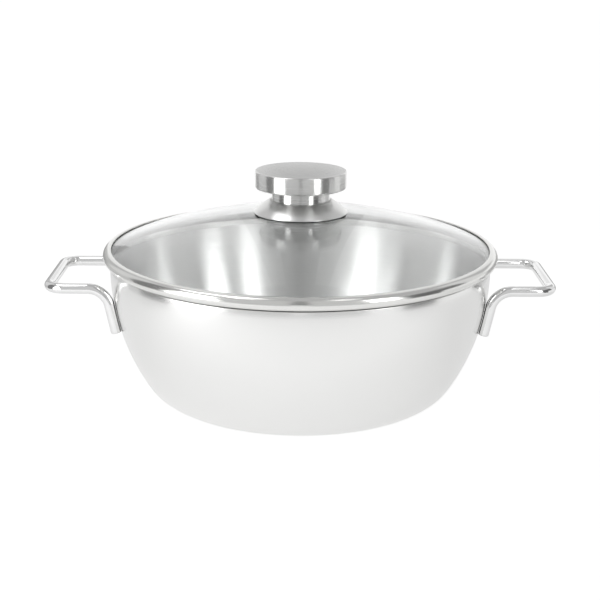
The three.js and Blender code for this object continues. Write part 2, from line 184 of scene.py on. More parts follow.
def turning_marks(tree, spacing, run):
    """Marks left by turning or brushing round the axis: they change every spacing along the surface
    and only every run around it."""
    place = add_node(tree, "TexCoord").outputs["Object"]
    level, radius = from_axis(tree, place)
    height = add_node(tree, "SeparateXYZ", {0: place}).outputs["Z"]
    along = add_node(tree, "Math", {0: radius, 1: height}, operation="ADD").outputs[0]
    step = add_node(tree, "Math", {0: along, 1: spacing}, operation="DIVIDE").outputs[0]
    lift = add_node(tree, "CombineXYZ", {"Z": step}).outputs[0]
    around = add_node(tree, "VectorMath", {0: level, 1: (run, run, 1)}, operation="DIVIDE").outputs[0]
    spot = add_node(tree, "VectorMath", {0: around, 1: lift}, operation="ADD").outputs[0]
    noise = add_node(tree, "TexNoise", {"Vector": spot, "Scale": 1, "Detail": 3, "Roughness": 0.6})
    return noise.outputs["Fac"]


# A Mix node has a set of sockets for each kind of value. These are the ones for colours.
MIX_SHARE = 0
MIX_FIRST = 6
MIX_SECOND = 7
MIX_RESULT = 2
# Most of the marks' noise lies between these values.
MARKS_LOW = 0.3
MARKS_HIGH = 0.7
QUARTER_TURN = 0.25


def turned_metal(name, pale, grey, roughness, spread, spacing, run, depth, streak=0.0):
    """Metal finished round its axis. Its colour and roughness vary with the marks, whose depth bends
    the light a little. A streak draws reflections out across the marks. Real marks are a tenth of a
    millimetre apart or less, too fine to show, so each finish draws them several times coarser."""
    material, tree = new_material(name)
    marks = turning_marks(tree, spacing, run)
    colour = add_node(tree, "Mix", {
        MIX_SHARE: marks,
        MIX_FIRST: linear(grey),
        MIX_SECOND: linear(pale),
    }, data_type="RGBA")
    rough = add_node(tree, "MapRange", {
        "Value": marks,
        "From Min": MARKS_LOW,
        "From Max": MARKS_HIGH,
        "To Min": roughness - spread,
        "To Max": roughness + spread,
    })
    bump = add_node(tree, "Bump", {"Height": marks, "Distance": depth, "Strength": 1})
    round_axis = add_node(tree, "Tangent", direction_type="RADIAL", axis="Z")
    metal = add_node(tree, "BsdfPrincipled", {
        "Base Color": colour.outputs[MIX_RESULT],
        "Metallic": 1,
        "Roughness": rough.outputs["Result"],
        "Normal": bump.outputs["Normal"],
        "Tangent": round_axis.outputs["Tangent"],
        "Anisotropic": streak,
        "Anisotropic Rotation": QUARTER_TURN,
    })
    add_node(tree, "OutputMaterial", {"Surface": metal.outputs["BSDF"]})
    return material


def dress(piece, body, node, material):
    """Give a piece its finish, and let it stand for its node on the body that the node moves with."""
    piece.data.materials.append(material)
    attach(piece, body)
    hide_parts(node)


outer_skin = turned("outer_skin_visual", ply(0, SKIN_THICKNESS), closed=False)
satin_steel = turned_metal("satin stainless steel", SATIN_PALE, SATIN_GREY, roughness=0.22, spread=0.006,
                           spacing=0.9 * MM, run=60 * MM, depth=0.0001 * MM)
dress(outer_skin, "pan", "outer_skin", satin_steel)

# The core: the aluminium ply that spreads the heat, rolled between the two steel plies.
# It shows only as a dull grey line on the rim's cut edge.
CORE_DEPTH = 0.82 * MM
CORE_THICKNESS = 1.6 * MM
CORE_PALE = "#C6C8CA"
CORE_GREY = "#B4B6B8"

core = turned("aluminium_core_visual", ply(CORE_DEPTH, CORE_THICKNESS), closed=False)
rolled_aluminium = turned_metal("rolled aluminium", CORE_PALE, CORE_GREY, roughness=0.5, spread=0.08,
                                spacing=0.4 * MM, run=20 * MM, depth=0.004 * MM)
dress(core, "pan", "aluminium_core", rolled_aluminium)

# The cooking liner: the inner stainless steel ply, brushed round the axis. The brushing draws every
# bright thing above the pan out into upright streaks on the wall.
LINER_DEPTH = 2.44 * MM
LINER_THICKNESS = 0.4 * MM
LINER_PALE = "#F0F0EF"
LINER_GREY = "#E6E6E5"

liner = turned("cooking_liner_visual", ply(LINER_DEPTH, LINER_THICKNESS), closed=False)
brushed_liner = turned_metal("brushed stainless steel", LINER_PALE, LINER_GREY, roughness=0.33,
                             spread=0.03, spacing=0.7 * MM, run=50 * MM, depth=0.002 * MM, streak=1.0)
dress(liner, "pan", "cooking_liner", brushed_liner)

# The loop handles: one bent round rod of stainless steel each, polished to a mirror. Each leg runs down
# the wall, touches it along a line and is welded on there. Along that line the rod's colour is painted
# dark, as painted shade for the crease.
ROD_RADIUS = 4 * MM
ROD_SIDES = 32
ROD_END_ROUNDING = 1.2 * MM
GRIP_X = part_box("right_handle")[1].x - ROD_RADIUS
HANDLE_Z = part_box("right_handle")[1].z - ROD_RADIUS
LEG_Y = 40 * MM
GRIP_BEND_RADIUS = 11 * MM
LEG_BEND_RADIUS = 16 * MM
WELD_BELOW_GRIP = 24 * MM
LEG_END_BELOW_GRIP = 34 * MM
LEG_STANDOFF = 3.7 * MM
# The weld itself isn't modelled, so a leg lies this far off the wall.
WALL_GAP = 0.3 * MM
BEND_STEPS = 16
# Straight lengths of rod are cut into short ones, so that a leg's back can follow the wall.
LONGEST_UNCUT = 8 * MM
STRAIGHT_CUTS = 12
MIRROR_MERGE_DISTANCE = 0.001 * MM
ROD_PALE = "#EAEAEA"
ROD_GREY = "#E2E2E2"
ROD_RIPPLE = 6 * MM
ROD_RIPPLE_DEPTH = 0.01 * MM
ROD_SMOOTHEST = 0.03
ROD_ROUGHEST = 0.10
# Painted shade: the rod's colour goes this dark within this width of the wall, in place of the crease's
# shadow.
CREASE_SHADE = "#1E1C1B"
CREASE_SHADE_WIDTH = 0.7 * MM


def wall_radius(height):
    """The radius of the bowl's outside at a height on its curved side or its rim."""
    return SIDE_CENTRE_R + sqrt(SIDE_RADIUS ** 2 - min(height - SIDE_CENTRE_Z, 0) ** 2)


def rod_end(found):
    """The verts and edges that an operator made last, for the next one to draw on."""
    return [part for part in found if not isinstance(part, bmesh.types.BMFace)]


def draw_straight(shape, section, way):
    """Draw a rod's end section out straight by a vector."""
    edges = [part for part in section if isinstance(part, bmesh.types.BMEdge)]
    made = bmesh.ops.extrude_edge_only(shape, edges=edges)
    verts = [part for part in made["geom"] if isinstance(part, bmesh.types.BMVert)]
    bmesh.ops.translate(shape, verts=verts, vec=way)
    return rod_end(made["geom"])


def draw_bend(shape, section, centre, axis, angle):
    """Draw a rod's end section round a bend."""
    made = bmesh.ops.spin(shape, geom=section, cent=centre, axis=axis, angle=angle, steps=BEND_STEPS)
    return rod_end(made["geom_last"])


def half_handle(shape):
    """One leg of the right handle, its bend and its half of the grip, drawn from the leg's end."""
    weld_z = HANDLE_Z - WELD_BELOW_GRIP
    lean = asin((SIDE_CENTRE_Z - weld_z) / SIDE_RADIUS)
    weld_x = sqrt((wall_radius(weld_z) + LEG_STANDOFF) ** 2 - LEG_Y ** 2)
    end_z = HANDLE_Z - LEG_END_BELOW_GRIP
    bend_z = HANDLE_Z - LEG_BEND_RADIUS * (1 - sin(lean))
    leg_way = Vector((tan(lean), 0, 1)) * (bend_z - end_z)
    leg_end = Vector((weld_x - (weld_z - end_z) * tan(lean), LEG_Y, end_z))
    bend_centre = leg_end + leg_way + Vector((cos(lean), 0, -sin(lean))) * LEG_BEND_RADIUS
    corner_x = GRIP_X - GRIP_BEND_RADIUS
    corner_y = LEG_Y - GRIP_BEND_RADIUS
    stand = Matrix.Translation(leg_end) @ Matrix.Rotation(lean, 4, "Y")
    bmesh.ops.create_circle(shape, segments=ROD_SIDES, radius=ROD_RADIUS, cap_ends=True, matrix=stand)
    rim = shape.edges[:]
    section = draw_straight(shape, rim, leg_way)
    section = draw_bend(shape, section, bend_centre, (0, 1, 0), pi / 2 - lean)
    section = draw_straight(shape, section, (corner_x - bend_centre.x, 0, 0))
    section = draw_bend(shape, section, (corner_x, corner_y, HANDLE_Z), (0, 0, -1), pi / 2)
    draw_straight(shape, section, (0, -corner_y, 0))
    bmesh.ops.bevel(shape, geom=rim, offset=ROD_END_ROUNDING, segments=4, profile=0.5,
                    affect="EDGES", material=-1)


def loop_handle(name, side):
    """A whole handle on the right (side 1) or the left (side -1). Where a leg would reach into the
    wall, its back is moved out to a small gap from it."""
    shape = bmesh.new()
    half_handle(shape)
    long_edges = [edge for edge in shape.edges if edge.calc_length() > LONGEST_UNCUT]
    bmesh.ops.subdivide_edges(shape, edges=long_edges, cuts=STRAIGHT_CUTS)
    half = shape.verts[:] + shape.edges[:] + shape.faces[:]
    bmesh.ops.mirror(shape, geom=half, axis="Y", merge_dist=MIRROR_MERGE_DISTANCE)
    for vert in shape.verts:
        wall = wall_radius(vert.co.z) + WALL_GAP
        reach = vert.co.xy.length
        if reach < wall:
            vert.co.xy *= wall / reach
    facing = Matrix.Rotation(0 if side > 0 else pi, 3, "Z")
    bmesh.ops.rotate(shape, verts=shape.verts, matrix=facing)
    return finished(name, shape, sharp_angle=50)


def wall_clearance(tree, place):
    """How far a spot on a handle stands off the bowl's curved side."""
    radius = from_axis(tree, place)[1]
    side_centre = (0, 0, SIDE_CENTRE_Z)
    spoke = add_node(tree, "VectorMath", {0: place, 1: side_centre}, operation="SUBTRACT").outputs[0]
    drop = add_node(tree, "SeparateXYZ", {0: spoke}).outputs["Z"]
    reach = add_node(tree, "Math", {0: radius, 1: SIDE_CENTRE_R}, operation="SUBTRACT").outputs[0]
    section = add_node(tree, "CombineXYZ", {"X": reach, "Y": drop}).outputs[0]
    distance = add_node(tree, "VectorMath", {0: section}, operation="LENGTH").outputs["Value"]
    return add_node(tree, "Math", {0: distance, 1: SIDE_RADIUS}, operation="SUBTRACT").outputs[0]


def polished_rod():
    """Mirror-polished bar: almost no grain, only the long ripple that polishing leaves. Close to the
    wall its colour is painted dark, as painted shade in the crease between rod and wall."""
    material, tree = new_material("mirror-polished steel rod")
    place = add_node(tree, "TexCoord").outputs["Object"]
    noise = add_node(tree, "TexNoise", {"Vector": place, "Scale": 1 / ROD_RIPPLE, "Detail": 2})
    ripple = noise.outputs["Fac"]
    colour = add_node(tree, "Mix", {
        MIX_SHARE: ripple,
        MIX_FIRST: linear(ROD_GREY),
        MIX_SECOND: linear(ROD_PALE),
    }, data_type="RGBA")
    # Painted shade: the colour darkens where the rod nears the wall, standing in for the shadow in the
    # crease.
    crease_unshaded = add_node(tree, "MapRange", {
        "Value": wall_clearance(tree, place),
        "From Min": CREASE_SHADE_WIDTH,
        "From Max": 2 * CREASE_SHADE_WIDTH,
    })
    crease_shaded = add_node(tree, "Mix", {
        MIX_SHARE: crease_unshaded.outputs["Result"],
        MIX_FIRST: linear(CREASE_SHADE),
        MIX_SECOND: colour.outputs[MIX_RESULT],
    }, data_type="RGBA")
    rough = add_node(tree, "MapRange", {"Value": ripple, "To Min": ROD_SMOOTHEST, "To Max": ROD_ROUGHEST})
    bump = add_node(tree, "Bump", {"Height": ripple, "Distance": ROD_RIPPLE_DEPTH, "Strength": 1})
    steel = add_node(tree, "BsdfPrincipled", {
        "Base Color": crease_shaded.outputs[MIX_RESULT],
        "Metallic": 1,
        "Roughness": rough.outputs["Result"],
        "Normal": bump.outputs["Normal"],
    })
    add_node(tree, "OutputMaterial", {"Surface": steel.outputs["BSDF"]})
    return material


rod_steel = polished_rod()
dress(loop_handle("right_handle_visual", 1), "pan", "right_handle", rod_steel)
dress(loop_handle("left_handle_visual", -1), "pan", "left_handle", rod_steel)

# The lid's band: a stainless steel strip rolled half-round over the edge of the glass and polished along
# its length. A flange locates it inside the rim, a seat rests on the rim's crown, and from there its foot
# slopes up into the roll, so that a dark groove shows between lid and pan.
BAND_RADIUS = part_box("lid_band")[1].x
BAND_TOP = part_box("lid_band")[1].z
FLANGE_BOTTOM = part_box("lid_band")[0].z
BAND_SHEET = 0.8 * MM
BAND_ROLL_RADIUS = 4.6 * MM
BAND_LIP_WIDTH = 1.5 * MM
BAND_LIP_EDGE = 0.3 * MM
FLANGE_CLEARANCE = 0.8 * MM
FLANGE_EDGE = 0.2 * MM
SEAT_GAP = 0.3 * MM
BAND_PALE = "#E4E4E2"
BAND_GREY = "#DADAD8"

roll = (BAND_RADIUS - BAND_ROLL_RADIUS, BAND_TOP - BAND_ROLL_RADIUS)
roll_inside = BAND_ROLL_RADIUS - BAND_SHEET
flange_r = PAN_RADIUS - CLAD_THICKNESS - FLANGE_CLEARANCE
flange_in = flange_r - BAND_SHEET
lip_r = roll[0] - BAND_LIP_WIDTH
band_seat = PAN_HEIGHT + SEAT_GAP
to_roll = Vector((roll[0] - RIM_MIDDLE, roll[1] - band_seat))
foot_slope = atan2(to_roll.y, to_roll.x) - asin(BAND_ROLL_RADIUS / to_roll.length)
roll_start = degrees(foot_slope) - 90
seat_inside = RIM_MIDDLE - BAND_SHEET * tan(foot_slope / 2)
band_profile = (
    [(flange_in, FLANGE_BOTTOM + FLANGE_EDGE), (flange_r - BAND_SHEET / 2, FLANGE_BOTTOM)]
    + [(flange_r, FLANGE_BOTTOM + FLANGE_EDGE), (flange_r, band_seat), (RIM_MIDDLE, band_seat)]
    + arc(roll, BAND_ROLL_RADIUS, roll_start, 90, steps=32)
    + arc((lip_r + BAND_LIP_EDGE, BAND_TOP - BAND_LIP_EDGE), BAND_LIP_EDGE, 90, 180, steps=4)
    + [(lip_r, BAND_TOP - BAND_SHEET)]
    + arc(roll, roll_inside, 90, roll_start, steps=16)
    + [(seat_inside, band_seat + BAND_SHEET), (flange_in, band_seat + BAND_SHEET)]
)
band = turned("lid_band_visual", band_profile)
band_steel = turned_metal("polished steel strip", BAND_PALE, BAND_GREY, roughness=0.19, spread=0.02,
                          spacing=0.6 * MM, run=80 * MM, depth=0.0003 * MM, streak=0.5)
dress(band, "lid", "lid_band", band_steel)

# The lid's glass: a shallow dome of tempered soda-lime glass, sagged over a mould, with its ground edge
# inside the band and a hole in the middle for the knob's screw.
DOME_RADIUS = 391 * MM
GLASS_THICKNESS = 4 * MM
GLASS_HOLE_RADIUS = 6 * MM
GLASS_BITE = 2.5 * MM
GLASS_TINT = "#FEFFFF"
GLASS_IOR = 1.52
GLASS_RIPPLE = 45 * MM
GLASS_RIPPLE_DEPTH = 0.05 * MM

GLASS_EDGE_RADIUS = roll[0] + GLASS_BITE
GLASS_SEAT = roll[1] - sqrt((roll_inside - SEAT_GAP) ** 2 - GLASS_BITE ** 2)
DOME_CENTRE_Z = GLASS_SEAT - sqrt((DOME_RADIUS - GLASS_THICKNESS) ** 2 - GLASS_EDGE_RADIUS ** 2)


def dome(radius, start, stop):
    """An arc of the dome's section between two distances from the axis."""
    first, last = (degrees(acos(distance / radius)) for distance in (start, stop))
    return arc((0, DOME_CENTRE_Z), radius, first, last, steps=40)


def tempered_glass():
    """Clear tempered glass. Sagging leaves it a long, faint ripple, which its reflections show."""
    material, tree = new_material("tempered glass")
    place = add_node(tree, "TexCoord").outputs["Object"]
    ripple = add_node(tree, "TexNoise", {"Vector": place, "Scale": 1 / GLASS_RIPPLE, "Detail": 1})
    bump = add_node(tree, "Bump", {
        "Height": ripple.outputs["Fac"],
        "Distance": GLASS_RIPPLE_DEPTH,
        "Strength": 1,
    })
    glass = add_node(tree, "BsdfPrincipled", {
        "Base Color": linear(GLASS_TINT),
        "Roughness": 0,
        "IOR": GLASS_IOR,
        "Transmission Weight": 1,
        "Normal": bump.outputs["Normal"],
    })
    add_node(tree, "OutputMaterial", {"Surface": glass.outputs["BSDF"]})
    return material


inner_dome = dome(DOME_RADIUS - GLASS_THICKNESS, GLASS_HOLE_RADIUS, GLASS_EDGE_RADIUS)
outer_dome = dome(DOME_RADIUS, GLASS_EDGE_RADIUS, GLASS_HOLE_RADIUS)
lid_glass = turned("lid_glass_visual", inner_dome + outer_dome)
dress(lid_glass, "lid", "lid_glass", tempered_glass())

# The gasket: a thin moulded ring of dark silicone that lies between the knob's skirt and the glass.
# The screw draws the skirt down on it, and only its outer edge shows, as a dark line.
SKIRT_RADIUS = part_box("knob_skirt")[1].x
SKIRT_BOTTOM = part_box("knob_skirt")[0].z
GASKET_INSET = 0.4 * MM
GASKET_RADIUS = SKIRT_RADIUS - GASKET_INSET
GASKET_WIDTH = 2 * MM
GASKET_EDGE = 0.15 * MM
PRESS_GAP = 0.1 * MM
KNOB_TURN_STEPS = 128
SILICONE_DARK = "#1F2021"
SILICONE_GREY = "#2C2D2E"
SILICONE_ROUGHNESS = 0.62
SILICONE_IOR = 1.41
# A blasted mould's grain is under a tenth of a millimetre, so it is drawn coarser to show.
SILICONE_GRAIN = 0.4 * MM
SILICONE_GRAIN_DEPTH = 0.03 * MM


def dome_height(distance):
    """The height of the glass's upper surface at a distance from the axis."""
    return DOME_CENTRE_Z + sqrt(DOME_RADIUS ** 2 - distance ** 2)


def round_rim(radius, foot, head, edge, steps):
    """The outer rim of a flat ring's section, with both of its edges rounded."""
    inset = radius - edge
    low = arc((inset, foot + edge), edge, -90, 0, steps)
    high = arc((inset, head - edge), edge, 0, 90, steps)
    return low + high


def matt_silicone():
    """Moulded silicone: dark and matt, with the fine grain of a blasted mould."""
    material, tree = new_material("moulded silicone")
    place = add_node(tree, "TexCoord").outputs["Object"]
    noise = add_node(tree, "TexNoise", {"Vector": place, "Scale": 1 / SILICONE_GRAIN, "Detail": 2})
    grain = noise.outputs["Fac"]
    colour = add_node(tree, "Mix", {
        MIX_SHARE: grain,
        MIX_FIRST: linear(SILICONE_DARK),
        MIX_SECOND: linear(SILICONE_GREY),
    }, data_type="RGBA")
    bump = add_node(tree, "Bump", {"Height": grain, "Distance": SILICONE_GRAIN_DEPTH, "Strength": 1})
    rubber = add_node(tree, "BsdfPrincipled", {
        "Base Color": colour.outputs[MIX_RESULT],
        "Roughness": SILICONE_ROUGHNESS,
        "IOR": SILICONE_IOR,
        "Normal": bump.outputs["Normal"],
    })
    add_node(tree, "OutputMaterial", {"Surface": rubber.outputs["BSDF"]})
    return material


gasket_inside = GASKET_RADIUS - GASKET_WIDTH
gasket_foot = dome_height(GASKET_RADIUS) + PRESS_GAP
gasket_profile = (
    [(gasket_inside, dome_height(gasket_inside) + PRESS_GAP)]
    + round_rim(GASKET_RADIUS, gasket_foot, SKIRT_BOTTOM, GASKET_EDGE, steps=3)
    + [(gasket_inside, SKIRT_BOTTOM)]
)
silicone = matt_silicone()
gasket = turned("skirt_gasket_visual", gasket_profile, KNOB_TURN_STEPS)
dress(gasket, "lid", "skirt_gasket", silicone)

# The knob's skirt: a domed flare spun from stainless steel sheet and polished, so it mirrors the studio in
# soft patches. It has a small rounded lip below and a recess on top that takes the neck.
SKIRT_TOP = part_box("knob_skirt")[1].z
SKIRT_TOP_RADIUS = 23.4 * MM
SKIRT_TOP_LAND = 0.5 * MM
SKIRT_EDGE = 0.8 * MM
SKIRT_BULGE_RADIUS = 45 * MM
SKIRT_WALL = 1.2 * MM
NECK_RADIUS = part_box("knob_neck")[1].x
NECK_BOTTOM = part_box("knob_neck")[0].z
BOSS_HOLE_RADIUS = 6.8 * MM
FIT_GAP = 0.3 * MM
KNOB_PALE = "#E2E2E1"
KNOB_GREY = "#DCDCDB"

skirt_edge = Vector((SKIRT_RADIUS, SKIRT_BOTTOM + SKIRT_EDGE))
skirt_top = Vector((SKIRT_TOP_RADIUS, SKIRT_TOP))
skirt_chord = skirt_top - skirt_edge
bulge_depth = sqrt(SKIRT_BULGE_RADIUS ** 2 - skirt_chord.length_squared / 4)
bulge_inwards = Vector((-skirt_chord.y, skirt_chord.x)).normalized()
bulge_centre = (skirt_edge + skirt_top) / 2 + bulge_inwards * bulge_depth
bulge_start = degrees(asin((skirt_edge.y - bulge_centre.y) / SKIRT_BULGE_RADIUS))
bulge_stop = degrees(asin((skirt_top.y - bulge_centre.y) / SKIRT_BULGE_RADIUS))
recess_radius = NECK_RADIUS + FIT_GAP
ceiling = NECK_BOTTOM - SKIRT_WALL
lip = SKIRT_EDGE / 2
skirt_profile = (
    [(BOSS_HOLE_RADIUS, ceiling), (recess_radius, ceiling)]
    + [(SKIRT_RADIUS - SKIRT_WALL, SKIRT_BOTTOM)]
    + arc((SKIRT_RADIUS - lip, SKIRT_BOTTOM + lip), lip, -90, 0, steps=5)
    + arc(bulge_centre, SKIRT_BULGE_RADIUS, bulge_start, bulge_stop, steps=14)
    + [(SKIRT_TOP_RADIUS - SKIRT_TOP_LAND, SKIRT_TOP), (recess_radius, NECK_BOTTOM)]
    + [(BOSS_HOLE_RADIUS, NECK_BOTTOM)]
)
spun_skirt = turned_metal("spun and polished steel", KNOB_PALE, KNOB_GREY, roughness=0.3, spread=0.02,
                          spacing=0.5 * MM, run=30 * MM, depth=0.0003 * MM, streak=0.5)
skirt = turned("knob_skirt_visual", skirt_profile, KNOB_TURN_STEPS)
dress(skirt, "lid", "knob_skirt", spun_skirt)

# The knob's neck: a short length of stainless steel tube, turned and polished, so lights stand on it as
# upright bars. It sits in the skirt's recess and carries the disc.
NECK_WALL = 1.5 * MM
DISC_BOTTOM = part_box("knob_neck")[1].z

neck_profile = [
    (NECK_RADIUS - NECK_WALL, NECK_BOTTOM), (NECK_RADIUS, NECK_BOTTOM),
    (NECK_RADIUS, DISC_BOTTOM), (NECK_RADIUS - NECK_WALL, DISC_BOTTOM),
]
polished_knob = turned_metal("turned and polished steel", KNOB_PALE, KNOB_GREY, roughness=0.26,
                             spread=0.02, spacing=0.5 * MM, run=30 * MM, depth=0.0003 * MM, streak=1.0)
neck = turned("knob_neck_visual", neck_profile, KNOB_TURN_STEPS)
dress(neck, "lid", "knob_neck", polished_knob)

# The knob's underside: a flat plate of stainless steel, turned on a lathe, whose rings of marks give it
# a soft sheen. It closes the disc from below, where the fingers go, inside the cap's rolled edge.
DISC_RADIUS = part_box("knob_cap")[1].x
DISC_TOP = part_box("knob_cap")[1].z
DISC_LOWER_EDGE_RADIUS = 1.4 * MM
DISC_SHEET = 1.2 * MM

plate_rim = DISC_RADIUS - DISC_LOWER_EDGE_RADIUS - FIT_GAP
plate_profile = [
    (BOSS_HOLE_RADIUS, DISC_BOTTOM), (plate_rim, DISC_BOTTOM),
    (plate_rim, DISC_BOTTOM + DISC_SHEET), (BOSS_HOLE_RADIUS, DISC_BOTTOM + DISC_SHEET),
]
turned_plate = turned_metal("turned steel plate", KNOB_PALE, KNOB_GREY, roughness=0.28, spread=0.05,
                            spacing=0.6 * MM, run=25 * MM, depth=0.004 * MM, streak=0.6)
plate = turned("knob_underside_visual", plate_profile, KNOB_TURN_STEPS)
dress(plate, "lid", "knob_underside", turned_plate)

# The knob's cap: drawn from stainless steel sheet, with a flat top, an upright side and a rolled lower
# edge. The top is faced on a lathe, so its marks are rings, and the side is polished like the neck.
DISC_TOP_EDGE_RADIUS = 1.2 * MM
# A face whose normal points up at least this much belongs to the faced top.
LEAST_UPWARD = 0.99

wall_inside = DISC_RADIUS - DISC_SHEET
low_edge = (DISC_RADIUS - DISC_LOWER_EDGE_RADIUS, DISC_BOTTOM + DISC_LOWER_EDGE_RADIUS)
top_edge = (DISC_RADIUS - DISC_TOP_EDGE_RADIUS, DISC_TOP - DISC_TOP_EDGE_RADIUS)
cap_profile = (
    [(0, DISC_TOP - DISC_SHEET), (wall_inside, DISC_TOP - DISC_SHEET)]
    + arc(low_edge, DISC_LOWER_EDGE_RADIUS - DISC_SHEET, 0, -90, steps=5)
    + arc(low_edge, DISC_LOWER_EDGE_RADIUS, -90, 0, steps=8)
    + arc(top_edge, DISC_TOP_EDGE_RADIUS, 0, 90, steps=6)
    + [(0, DISC_TOP)]
)
cap = turned("knob_cap_visual", cap_profile, KNOB_TURN_STEPS, closed=False)
dress(cap, "lid", "knob_cap", polished_knob)
faced_top = turned_metal("faced steel top", KNOB_PALE, KNOB_GREY, roughness=0.3, spread=0.05,
                         spacing=0.5 * MM, run=30 * MM, depth=0.004 * MM)
cap.data.materials.append(faced_top)
for face in cap.data.polygons:
    face.material_index = int(face.normal.z > LEAST_UPWARD)

# The knob's boss: a plain bush turned from steel bar, with the bore for the screw. It hangs under the cap
# and reaches down through the neck and the skirt, so it isn't seen.
BOSS_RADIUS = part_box("knob_boss")[1].x
BOSS_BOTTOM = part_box("knob_boss")[0].z
BOSS_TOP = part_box("knob_boss")[1].z
BORE_RADIUS = 2.8 * MM
BORE_DEPTH = 14 * MM
HARDWARE_TURN_STEPS = 64
FASTENER_PALE = "#BDBDBB"
FASTENER_GREY = "#A9A9A7"

bore_top = BOSS_BOTTOM + BORE_DEPTH
boss_profile = [
    (0, bore_top), (BORE_RADIUS, bore_top), (BORE_RADIUS, BOSS_BOTTOM),
    (BOSS_RADIUS, BOSS_BOTTOM), (BOSS_RADIUS, BOSS_TOP), (0, BOSS_TOP),
]
plain_steel = turned_metal("plain turned steel", FASTENER_PALE, FASTENER_GREY, roughness=0.3, spread=0.06,
                           spacing=0.3 * MM, run=8 * MM, depth=0.004 * MM, streak=0.4)
boss = turned("knob_boss_visual", boss_profile, HARDWARE_TURN_STEPS, closed=False)
dress(boss, "lid", "knob_boss", plain_steel)

# The grommet: a moulded silicone top hat in the hole of the glass. Its sleeve and its flange keep
# the screw and the washer off the glass.
GROMMET_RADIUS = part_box("glass_grommet")[1].x
GROMMET_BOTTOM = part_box("glass_grommet")[0].z
SLEEVE_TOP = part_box("glass_grommet")[1].z
GROMMET_FLANGE = 1.4 * MM
SLEEVE_RADIUS = GLASS_HOLE_RADIUS - FIT_GAP
GROMMET_EDGE = 0.5 * MM

flange_top = GROMMET_BOTTOM + GROMMET_FLANGE
grommet_profile = (
    [(BORE_RADIUS, GROMMET_BOTTOM)]
    + round_rim(GROMMET_RADIUS, GROMMET_BOTTOM, flange_top, GROMMET_EDGE, steps=4)
    + [(SLEEVE_RADIUS, flange_top), (SLEEVE_RADIUS, SLEEVE_TOP), (BORE_RADIUS, SLEEVE_TOP)]
)
grommet = turned("glass_grommet_visual", grommet_profile, HARDWARE_TURN_STEPS)
dress(grommet, "lid", "glass_grommet", silicone)

# The washer: a disc punched from steel sheet, with its edges tumbled round. It lies between the grommet
# and the screw's head and spreads the screw's pull.
WASHER_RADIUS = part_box("screw_washer")[1].x
WASHER_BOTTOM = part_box("screw_washer")[0].z
WASHER_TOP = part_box("screw_washer")[1].z
WASHER_EDGE = 0.25 * MM

washer_profile = (
    [(BORE_RADIUS, WASHER_BOTTOM)]
    + round_rim(WASHER_RADIUS, WASHER_BOTTOM, WASHER_TOP, WASHER_EDGE, steps=4)
    + [(BORE_RADIUS, WASHER_TOP)]
)
washer = turned("screw_washer_visual", washer_profile, HARDWARE_TURN_STEPS)
dress(washer, "lid", "screw_washer", plain_steel)

# The screw: a steel pan-head screw with a cross recess for the driver and a plain shank. It comes up
# through the washer, the grommet and the glass into the boss and holds the knob on the lid.
SCREW_HEAD_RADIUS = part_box("knob_screw")[1].x
SCREW_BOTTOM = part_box("knob_screw")[0].z
SCREW_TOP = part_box("knob_screw")[1].z
SCREW_RADIUS = 2.5 * MM
SCREW_POINT = 0.5 * MM
SCREW_HEAD_HEIGHT = 3.2 * MM
RECESS_LENGTH = 5.6 * MM
RECESS_WIDTH = 1.4 * MM
RECESS_DEPTH = 1.8 * MM

head_edge = SCREW_HEAD_HEIGHT / 2
head_top = SCREW_BOTTOM + SCREW_HEAD_HEIGHT
screw_profile = (
    [(0, SCREW_BOTTOM)]
    + arc((SCREW_HEAD_RADIUS - head_edge, SCREW_BOTTOM + head_edge), head_edge, -90, 0, steps=8)
    + [(SCREW_HEAD_RADIUS, head_top), (SCREW_RADIUS, head_top)]
    + [(SCREW_RADIUS, SCREW_TOP - SCREW_POINT), (SCREW_RADIUS - SCREW_POINT, SCREW_TOP)]
    + [(0, SCREW_TOP)]
)


def cross_cutter():
    """Two crossed bars that cut the recess for the driver."""
    shape = bmesh.new()
    for size in ((RECESS_LENGTH, RECESS_WIDTH), (RECESS_WIDTH, RECESS_LENGTH)):
        bar = bmesh.ops.create_cube(shape, size=1)["verts"]
        bmesh.ops.scale(shape, verts=bar, vec=(*size, 2 * RECESS_DEPTH))
    bmesh.ops.translate(shape, verts=shape.verts, vec=(0, 0, SCREW_BOTTOM))
    return finished("recess_cutter", shape)


screw = turned("knob_screw_visual", screw_profile, HARDWARE_TURN_STEPS, closed=False)
cutter = cross_cutter()
cut = screw.modifiers.new("cross recess", "BOOLEAN")
cut.object = cutter
cut.use_self = True
uncut_mesh = screw.data
cut_screw = screw.evaluated_get(bpy.context.evaluated_depsgraph_get())
screw.data = bpy.data.meshes.new_from_object(cut_screw)
screw.modifiers.clear()
bpy.data.meshes.remove(uncut_mesh)
bpy.data.objects.remove(cutter)
dress(screw, "lid_centre", "knob_screw", plain_steel)

# The floor: a wide sheet of matt white paper under the pan. It shows as white to the eye, but for the
# pan's shadow. For steel and glass its glow is painted brighter in front of the pan and greyer behind, as
# painted light from the front.
FLOOR_RADIUS = 6
FLOOR_WHITE = "#F2F2F2"
FLOOR_SHADE = "#ADADAD"
FLOOR_GLOW_SEEN = 0.8
FLOOR_PAINTED_LIGHT_FRONT = 0.8
FLOOR_PAINTED_LIGHT_BACK = 0.62
FLOOR_FRONT_Y = -0.2
FLOOR_BACK_Y = -0.04


def seen_or_mirrored(tree):
    """1 for rays from the eye, and for those that steel mirrors or glass lets through."""
    path = add_node(tree, "LightPath").outputs
    two = add_node(tree, "Math", {0: path["Is Camera Ray"], 1: path["Is Glossy Ray"]}, operation="MAXIMUM")
    three = {0: two.outputs[0], 1: path["Is Transmission Ray"]}
    return add_node(tree, "Math", three, operation="MAXIMUM").outputs[0]


